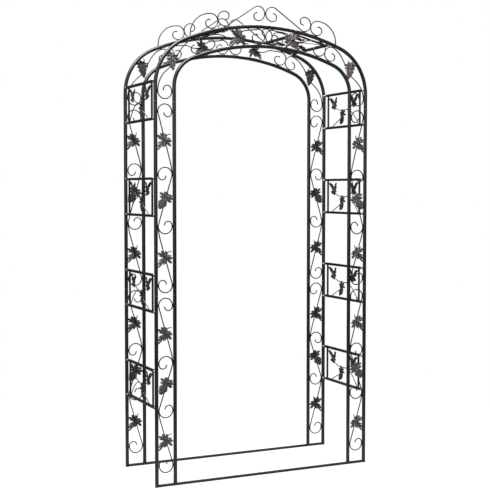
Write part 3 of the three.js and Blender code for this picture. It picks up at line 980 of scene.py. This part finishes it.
def mix(tree, factor, a, b):
    node = tree.nodes.new("ShaderNodeMix")
    node.data_type = "RGBA"
    feed(tree, node, {"Factor": factor, "A": a, "B": b})
    return node.outputs["Result"]


def bump(tree, layers):
    """Chained bumps: each layer is [height, strength, distance in metres]."""
    normal = {}
    for height, strength, distance in layers:
        inputs = {"Height": height, "Strength": strength, "Distance": distance, **normal}
        normal = {"Normal": new_node(tree, "Bump", inputs).outputs["Normal"]}
    return normal["Normal"]


def black_paint():
    material, tree, shader = new_material("black_paint")
    broad = object_noise(tree, 9.0, 3.0)
    fine = object_noise(tree, 240.0, 5.0, 0.6)
    speck = object_noise(tree, 900.0, 2.0)
    base = ramp(tree, broad, [
        (0.3, (0.0045, 0.006, 0.0085)),
        (0.55, (0.0075, 0.0095, 0.013)),
        (0.75, (0.012, 0.0145, 0.018)),
    ])
    dusty = ramp(tree, broad, [(0.3, (0.022, 0.026, 0.029)), (0.7, (0.032, 0.036, 0.038))])
    dust = remap(tree, fine, 0.0, 0.32, 0.52, 0.74)
    feed(tree, shader, {
        "Base Color": mix(tree, dust, base, dusty),
        "Coat Weight": 0.2,
        "Coat Roughness": 0.18,
        "Roughness": remap(tree, broad, 0.27, 0.4),
        "Normal": bump(tree, [(fine, 0.3, 0.0003), (speck, 0.2, 0.00012)]),
    })
    return material


def bronze_paint(name, *tints, top=0.68):
    """Dark paint, brushed with a paler bronze that stays on in patches.

    The tints are the paint's darkest, middle and palest and then the bronze's two.
    """
    darkest, middle, palest, bronze, bright = tints
    material, tree, shader = new_material(name + "_patina")
    patches = object_noise(tree, 75.0, 5.0, 0.65, 0.4)
    fine = object_noise(tree, 320.0, 5.0, 0.6)
    base = ramp(tree, patches, [(0.32, darkest), (0.5, middle), (top, palest)])
    rubbed = ramp(tree, fine, [(0.3, bronze), (0.7, bright)])
    amount = remap(tree, fine, 0.0, 0.85, 0.47, 0.66)
    feed(tree, shader, {
        "Base Color": mix(tree, amount, base, rubbed),
        "Metallic": 0.3,
        "Roughness": remap(tree, patches, 0.3, 0.52),
        "Normal": bump(tree, [(patches, 0.4, 0.0006), (fine, 0.45, 0.00025)]),
    })
    return material


def zinc():
    material, tree, shader = new_material("zinc")
    spangle = object_noise(tree, 700.0, 3.0, 0.5, 0.8)
    feed(tree, shader, {
        "Base Color": ramp(tree, spangle, [(0.3, (0.5, 0.51, 0.52)), (0.7, (0.78, 0.79, 0.8))]),
        "Metallic": 0.95,
        "Roughness": remap(tree, spangle, 0.25, 0.45),
        "Normal": bump(tree, [(spangle, 0.25, 0.0001)]),
    })
    return material


PAINT = black_paint()
ZINC = zinc()
# The darkest copy of the same casting paint, for the back arch's shoulders and for the panels; on
# the back arch its darkness is painted shade.
DARK_PAINT = bronze_paint(
    "dark", (0.006, 0.0075, 0.0095), (0.018, 0.02, 0.023), (0.045, 0.047, 0.052),
    (0.05, 0.05, 0.053), (0.13, 0.13, 0.135), top=0.7,
)
# A darker copy of the same casting paint, for the back legs' leaves and grapes: painted shade.
SHADED_BACK_PAINT = bronze_paint(
    "shaded_back", (0.009, 0.0105, 0.011), (0.03, 0.031, 0.031), (0.08, 0.08, 0.076),
    (0.085, 0.084, 0.08), (0.22, 0.215, 0.2), top=0.7,
)
LEAF_PAINT = bronze_paint(
    "leaf", (0.015, 0.013, 0.014), (0.055, 0.048, 0.049), (0.14, 0.12, 0.116),
    (0.15, 0.128, 0.122), (0.36, 0.31, 0.295),
)
# A paler copy of the same casting paint, for the front right leg's leaves and grapes: painted
# light.
LIT_RIGHT_PAINT = bronze_paint(
    "lit_right", (0.017, 0.018, 0.019), (0.065, 0.066, 0.066), (0.17, 0.168, 0.16),
    (0.18, 0.178, 0.17), (0.42, 0.41, 0.39),
)
GRAPE_PAINT = bronze_paint(
    "grape", (0.014, 0.013, 0.015), (0.05, 0.045, 0.049), (0.13, 0.115, 0.118),
    (0.16, 0.14, 0.14), (0.36, 0.32, 0.315),
)
# A paler copy of the same casting paint, for the grapes of both front shoulders and the leaves of
# the front right shoulder: painted light.
LIT_PALE_PAINT = bronze_paint(
    "pale", (0.024, 0.02, 0.022), (0.085, 0.07, 0.07), (0.18, 0.15, 0.145),
    (0.2, 0.165, 0.16), (0.38, 0.33, 0.31),
)
PLUM_PAINT = bronze_paint(
    "plum", (0.012, 0.0095, 0.012), (0.042, 0.033, 0.039), (0.105, 0.083, 0.09),
    (0.115, 0.093, 0.098), (0.27, 0.22, 0.225),
)

# Slots of a casting: leg stems, leaves, grapes and, on the arch, the leaf on the band.
# One casting paint, in paler and darker copies by where the casting stands: the paler copies at the
# front are painted light, the darker ones on the back arch painted shade.
LEFT_LEG = [PAINT, LEAF_PAINT, GRAPE_PAINT]
RIGHT_LEG = [PAINT, LIT_RIGHT_PAINT, LIT_RIGHT_PAINT]
BACK_LEG = [PAINT, SHADED_BACK_PAINT, SHADED_BACK_PAINT]
LEFT_SHOULDER = [PAINT, GRAPE_PAINT, LIT_PALE_PAINT, PLUM_PAINT]
RIGHT_SHOULDER = [PAINT, LIT_PALE_PAINT, LIT_PALE_PAINT, LIT_PALE_PAINT]
DARK_CASTINGS = [PAINT, DARK_PAINT, DARK_PAINT, DARK_PAINT]


# ---- placing ----
def in_front_arch(p):
    return (p[0], p[1] - HALF_DEPTH, p[2])


def in_back_arch(p):
    return (-p[0], HALF_DEPTH - p[1], p[2])


def finish_piece(shape, name, materials, nodes=(), sharp=38):
    piece = shape.build(name, materials, sharp)
    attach(piece, "root")
    if nodes:
        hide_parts(*nodes)


def finish_painted(shape, node):
    finish_piece(shape, f"look_{node}", [PAINT], [node])


def finish_castings(shape, name, materials):
    finish_piece(shape, name, materials, sharp=60)


def on_shoulder(z):
    """The outer tube's centre line at a height on the shoulder."""
    return (CORNER_X + math.sqrt(CORNER_RADIUS**2 - (z - CORNER_Z) ** 2), z)


SIDE_RAILS = [
    LOWEST_PANEL_Z + i * PANEL_PITCH + lift for i in range(4) for lift in (0, PANEL_HEIGHT)
]
LOW_ANGLE = math.degrees(math.acos(TOP_PANEL_X / CROWN_RADIUS))
LOW_RAIL = on_circle(CROWN, CROWN_RADIUS, LOW_ANGLE)
CHORD_ANGLE = math.degrees(2 * math.asin(PANEL_HEIGHT / 2 / CROWN_RADIUS))
HIGH_RAIL = on_circle(CROWN, CROWN_RADIUS, LOW_ANGLE + CHORD_ANGLE)
TOP_TILT = direction(LOW_RAIL, HIGH_RAIL) - 90


def make_tubes(leg, side, placed):
    """The six tubes of one leg and its half of the arch."""
    upper_foot, upper_top = SECTION + 2 * GAP, JOINT_Z - GAP
    inner_foot = BASE_RAIL - 0.5
    lower_lugs = [z for z in SIDE_RAILS if z < SECTION]
    upper_lugs = [z for z in SIDE_RAILS if SECTION < z < JOINT_Z]
    arch_lugs = [(*on_shoulder(z), 0) for z in SIDE_RAILS if z > JOINT_Z]
    arch_lugs += [(*LOW_RAIL, TOP_TILT), (*HIGH_RAIL, TOP_TILT)]
    tubes = {
        "lower_outer": leg_tube(0, SECTION, 0, lower_lugs, side),
        "lower_inner": leg_tube(inner_foot, SECTION, BAND, [], side),
        "upper_outer": leg_tube(upper_foot, upper_top, 0, upper_lugs, side),
        "upper_inner": leg_tube(upper_foot, upper_top, BAND, [], side),
        "top_outer": arch_tube(0, arch_lugs, side),
        "top_inner": arch_tube(BAND, [], side),
    }
    for part, shape in tubes.items():
        finish_painted(shape.moved(placed), f"{leg}_{part}_tube")


# For each leg: how far the upper leaf, upper coil, grapes, lower coil and lower leaf sit above
# their even places, in the upper and in the lower section; how far the shoulder's grapes sit
# across and down, with the place and scale of the leaf on the band; and its castings.
LEGS = {
    "front_left": (
        (0, -4, 0, -14, 4), (0, -5, 7, -10, -9), (13, 5, 147, 1.03), LEFT_LEG, LEFT_SHOULDER,
    ),
    "front_right": (
        (4, -10, -10, -33, 0), (2, -4, 7, -4, -16), (1, 6, 147, 1.0), RIGHT_LEG, RIGHT_SHOULDER,
    ),
    "back_left": (
        (17, 23, 25, -7, 2), (4, 2, 2, 0, 0), (1, 0, 152, 0.9), BACK_LEG, DARK_CASTINGS,
    ),
    "back_right": (
        (5, 4, 19, -11, 10), (4, 1, 11, 1, 5), (8, 1, 155, 0.87), BACK_LEG, DARK_CASTINGS,
    ),
}
CREST = crest()


def make_scrolls(leg, side, placed):
    """The scrollwork of one leg and its half of the arch, and the crest above."""
    upper_shifts, lower_shifts, corner, on_leg, on_arch = LEGS[leg]
    hooked = leg == "front_left"
    upper_ends = (JOINT_Z - SCROLL_INSET, SECTION + SCROLL_INSET)
    lower_ends = (SECTION - SCROLL_INSET, LOWEST_SCROLL_Z)
    for part, (rods, leaves), materials in (
        ("lower", leg_scrolls(*lower_ends, lower_shifts, hooked), on_leg),
        ("upper", leg_scrolls(*upper_ends, upper_shifts, hooked), on_leg),
        ("top", arch_scrolls(*corner), on_arch),
    ):
        rods, leaves = (on_side(shape, side).moved(placed) for shape in (rods, leaves))
        finish_painted(rods, f"{leg}_{part}_scrollwork")
        finish_castings(leaves, f"{leg}_{part}_leaves_and_grapes", materials)
    finish_painted(on_side(CREST, side).moved(placed), f"{leg}_crest")


def base_rail():
    """Square tube with rounded edges, welded between the outer legs."""
    half = BASE_RAIL / 2
    outline = rounded_square(BASE_RAIL, 1.6)
    outer_wall = HALF_SPAN - TUBE_RADIUS
    inner_leg = HALF_SPAN - BAND
    end = outer_wall + 0.5
    shape = Shape()
    shape.add(*swept([(-end, 0, half), (end, 0, half)], [outline, outline]))
    for side in (-1, 1):
        add_weld(shape, side * outer_wall, half * 1.1, 90, length=6)
        for x in (inner_leg + TUBE_RADIUS, inner_leg - TUBE_RADIUS):
            add_weld(shape, side * x, BASE_RAIL, 0, length=6)
    return shape


PANEL_FRAME = panel_frame()
PANEL_LEAVES = panel_leaves()
BOLTS = bolts()


def make_panel(name, foot, tilt, way):
    """One panel with its bolts; foot is the outer tube's centre line at its lower rail."""
    c, s = on_circle(ORIGIN, 1, -tilt)

    def placed(p):
        x, y, z = -p[1], p[0], p[2]
        x, z = x * c + z * s + foot[0], -x * s + z * c + foot[1]
        return (x * way, y * way, z)

    def on_lugs(p):
        return placed((p[0], p[1] + GAP + LUG_THICKNESS / 2, p[2]))

    finish_painted(PANEL_FRAME.moved(on_lugs), name)
    finish_castings(PANEL_LEAVES.moved(on_lugs), f"{name}_leaves_and_grapes", DARK_CASTINGS)
    finish_piece(BOLTS.moved(placed), f"{name}_bolts", [ZINC])


for place, placed, sides in (
    ("front", in_front_arch, (("left", -1), ("right", 1))),
    ("back", in_back_arch, (("right", -1), ("left", 1))),
):
    for side_name, side in sides:
        make_tubes(f"{place}_{side_name}", side, placed)
        make_scrolls(f"{place}_{side_name}", side, placed)
    finish_painted(base_rail().moved(placed), f"{place}_base_rail")

for side_name, way in (("right", 1), ("left", -1)):
    for i in range(4):
        foot = (HALF_SPAN, LOWEST_PANEL_Z + i * PANEL_PITCH)
        make_panel(f"{side_name}_side_panel_{i + 1}", foot, 0, way)
    make_panel(f"{side_name}_top_panel", LOW_RAIL, TOP_TILT, way)


# ---- floor, light and camera ----
ROOM_LIGHT = 0.08
FLOOR_REACH = 60  # metres to each side
CLEAR_FLOOR, WHITE_FLOOR = 0.9, 2.6  # metres from the middle, with the fade between


def white_to_camera(tree):
    """Full white where the camera sees it, and only the room's soft light elsewhere."""
    seen = new_node(tree, "LightPath", {}).outputs["Is Camera Ray"]
    return remap(tree, seen, ROOM_LIGHT, 1.0, 0.0, 1.0)


def floor_material():
    material, tree, shader = new_material("pale_floor")
    cloudy = object_noise(tree, 0.6, 2.0)
    feed(tree, shader, {
        "Base Color": ramp(tree, cloudy, [(0.3, (0.88, 0.88, 0.88)), (0.7, (0.92, 0.92, 0.92))]),
        "Roughness": 0.9,
        "Specular IOR Level": 0.1,
    })
    glow = new_node(tree, "Emission", {"Strength": white_to_camera(tree)})
    reach = tree.nodes.new("ShaderNodeVectorMath")
    reach.operation = "LENGTH"
    feed(tree, reach, {0: object_place(tree)})
    away = remap(tree, reach.outputs["Value"], 0.6, 1.0, CLEAR_FLOOR, WHITE_FLOOR)
    blend = new_node(tree, "MixShader", {
        "Fac": away, 1: shader.outputs["BSDF"], 2: glow.outputs["Emission"],
    })
    feed(tree, tree.nodes["Material Output"], {"Surface": blend.outputs["Shader"]})
    return material


def stage():
    mesh = bpy.data.meshes.new("floor")
    far = FLOOR_REACH
    corners = [(-far, -far, 0), (far, -far, 0), (far, far, 0), (-far, far, 0)]
    mesh.from_pydata(corners, [], [(0, 1, 2, 3)])
    mesh.materials.append(floor_material())
    new_object("floor", mesh)


def aim(thing, place, way):
    thing.location = place
    thing.rotation_mode = "QUATERNION"
    thing.rotation_quaternion = way.to_track_quat("-Z", "Y")


def softbox(name, place, size, power):
    """A rectangular light aimed at the middle of the arch."""
    light = bpy.data.lights.new(name, "AREA")
    light.shape = "RECTANGLE"
    light.size, light.size_y = size
    light.energy = power
    aim(new_object(name, light), place, Vector((0, 0, 1.3)) - Vector(place))


def lights():
    world = bpy.data.worlds.new("studio")
    bpy.context.scene.world = world
    world.use_nodes = True
    tree = world.node_tree
    feed(tree, tree.nodes["Background"], {
        "Color": (1, 1, 1, 1), "Strength": white_to_camera(tree),
    })
    softbox("overhead", (-1.2, -1.0, 4.6), (2.6, 2.6), 330)
    softbox("key", (-3.4, -3.2, 2.4), (1.4, 2.4), 45)
    softbox("fill", (2.6, -4.4, 2.2), (1.4, 2.2), 12)
    softbox("rim", (1.5, 2.4, 5.2), (2.6, 2.2), 240)


def camera():
    """In front of the arch and to its left, at eye height, and turned slightly down."""
    yaw, pitch = math.radians(25.152), math.radians(2.929)
    level = math.cos(pitch)
    data = bpy.data.cameras.new("camera")
    data.lens = 79.51
    data.clip_end = 100
    eye = new_object("camera", data)
    look = Vector((math.sin(yaw) * level, math.cos(yaw) * level, -math.sin(pitch)))
    aim(eye, (-2.469, -5.241, 1.485), look)
    bpy.context.scene.camera = eye


stage()
lights()
camera()
bpy.context.scene.view_settings.view_transform = "Standard"
